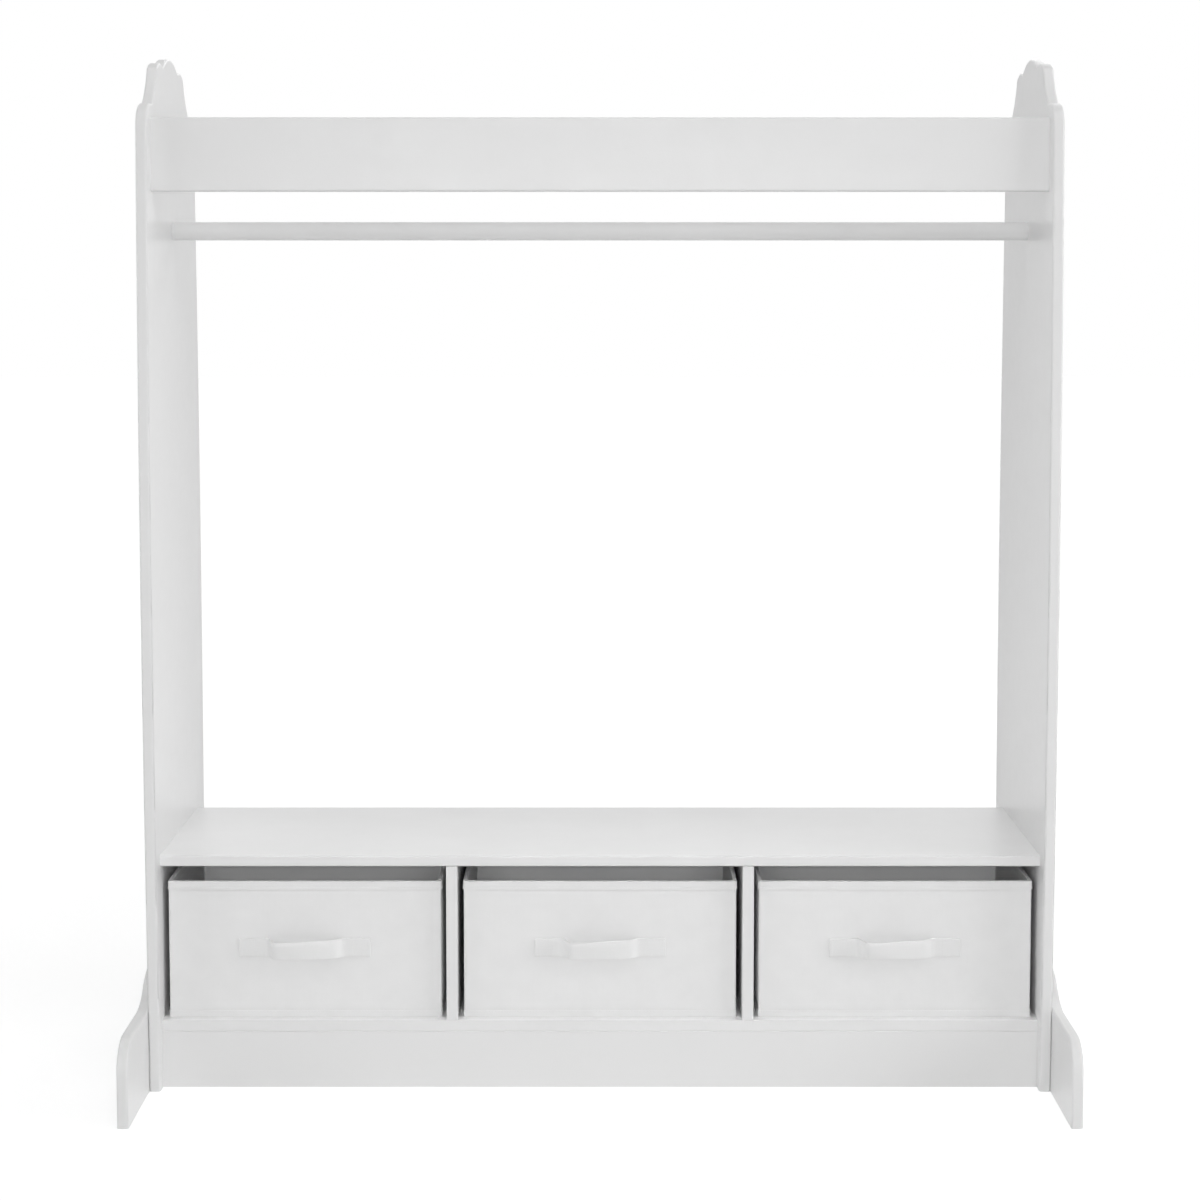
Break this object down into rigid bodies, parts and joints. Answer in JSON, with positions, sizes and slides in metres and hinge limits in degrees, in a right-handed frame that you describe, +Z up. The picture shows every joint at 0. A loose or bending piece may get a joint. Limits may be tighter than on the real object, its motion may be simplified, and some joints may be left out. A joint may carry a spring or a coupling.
{
  "type": "children's clothing rack",
  "caption": "Free-standing white clothing rack for children: scalloped side panels, rail board, hanging rod, and a low bench over open cubbies with pull-out fabric bins.",
  "frame": {"origin": "on the floor, midway between the side panels and midway between the foot boards' ends", "axes": "+X to the right seen from the front, +Y to the back, +Z up"},
  "size_m": [0.984, 0.502, 1.1019],
  "materials": {
    "painted_board": "fibreboard with satin white paint, edges rounded",
    "painted_rod": "round wood rod with satin white paint",
    "back_board": "thin hardboard, white on the cubby side",
    "beech": "bare beech",
    "zinc_steel": "zinc-plated steel",
    "cap_plastic": "matte white moulded plastic",
    "bin_fabric": "white non-woven fabric",
    "bin_lining": "white non-woven lining",
    "grey_board": "pressed grey board",
    "strap_webbing": "soft white webbing, sewn at both ends"
  },
  "bodies": {
    "rack": {"left_side_panel": "painted_board", "right_side_panel": "painted_board", "left_foot_board": "painted_board", "right_foot_board": "painted_board", "top_rail": "painted_board", "bench_shelf": "painted_board", "bottom_shelf": "painted_board", "left_divider": "painted_board", "right_divider": "painted_board", "toe_kick_board": "painted_board", "hanging_rod": "painted_rod", "cubby_back_panel": "back_board", "wood_dowels": "beech", "panel_bolts": "zinc_steel", "foot_bolts": "zinc_steel", "barrel_nuts": "zinc_steel", "bolt_caps": "cap_plastic", "rod_screws": "zinc_steel", "divider_screws": "zinc_steel", "foot_screws": "zinc_steel", "back_panel_nails": "zinc_steel"},
    "left_bin": {"left_bin_cover": "bin_fabric", "left_bin_wall_boards": "grey_board", "left_bin_lining": "bin_lining", "left_bin_base_board": "bin_lining", "left_bin_rim_hem": "bin_fabric", "left_bin_handle": "strap_webbing"},
    "middle_bin": {"middle_bin_cover": "bin_fabric", "middle_bin_wall_boards": "grey_board", "middle_bin_lining": "bin_lining", "middle_bin_base_board": "bin_lining", "middle_bin_rim_hem": "bin_fabric", "middle_bin_handle": "strap_webbing"},
    "right_bin": {"right_bin_cover": "bin_fabric", "right_bin_wall_boards": "grey_board", "right_bin_lining": "bin_lining", "right_bin_base_board": "bin_lining", "right_bin_rim_hem": "bin_fabric", "right_bin_handle": "strap_webbing"}
  },
  "joints": [
    {"name": "left_bin_slide", "type": "slide", "parent": "rack", "child": "left_bin", "axis": [0, -1, 0], "range_m": [0, 0.22]},
    {"name": "middle_bin_slide", "type": "slide", "parent": "rack", "child": "middle_bin", "axis": [0, -1, 0], "range_m": [0, 0.22]},
    {"name": "right_bin_slide", "type": "slide", "parent": "rack", "child": "right_bin", "axis": [0, -1, 0], "range_m": [0, 0.22]}
  ]
}
